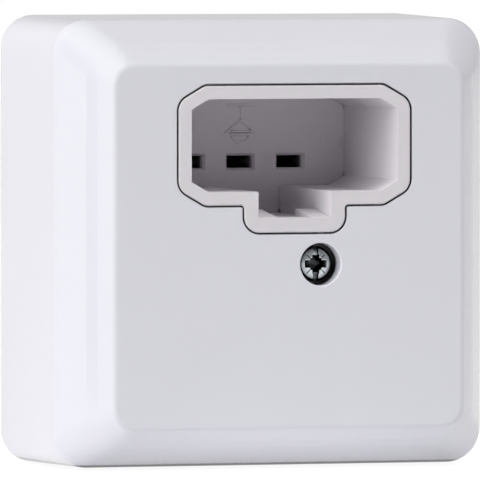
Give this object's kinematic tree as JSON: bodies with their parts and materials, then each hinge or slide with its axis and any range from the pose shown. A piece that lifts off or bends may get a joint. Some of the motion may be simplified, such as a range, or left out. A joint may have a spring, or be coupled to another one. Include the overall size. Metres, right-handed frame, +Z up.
{
  "type": "ceiling lamp outlet",
  "caption": "Surface-mounted lamp outlet: deep square hood with a bevelled front, a flush octagonal socket well with a keyway, and a recessed cover screw.",
  "frame": {"origin": "centre of the hood's mounting side, on the wall or ceiling face", "axes": "+Y into the wall or ceiling, the front faces -Y, +Z up as the outlet hangs on a wall, +X to the right seen from the front"},
  "size_m": [0.085, 0.0475, 0.085],
  "materials": {
    "hood_white": "satin moulded, white with a cool cast",
    "socket_white": "fine spark-eroded moulded white",
    "carrier_grey": "moulded grey",
    "base_white": "moulded white",
    "zinc_steel": "bright zinc plate",
    "contact_brass": "rolled strip",
    "retainer_nylon": "natural nylon"
  },
  "bodies": {
    "root": {"cover": "hood_white", "cover_screw": "zinc_steel", "screw_retainer": "retainer_nylon", "cover_bush": "contact_brass", "socket_body": "socket_white", "contact_carrier": "carrier_grey", "carrier_back": "carrier_grey", "base_plate": "base_white", "socket_screw_left": "zinc_steel", "socket_screw_right": "zinc_steel", "contact_line": "contact_brass", "clamp_line": "contact_brass", "terminal_screw_line": "zinc_steel", "contact_earth": "contact_brass", "clamp_earth": "contact_brass", "terminal_screw_earth": "zinc_steel", "contact_neutral": "contact_brass", "clamp_neutral": "contact_brass", "terminal_screw_neutral": "zinc_steel"}
  },
  "joints": []
}
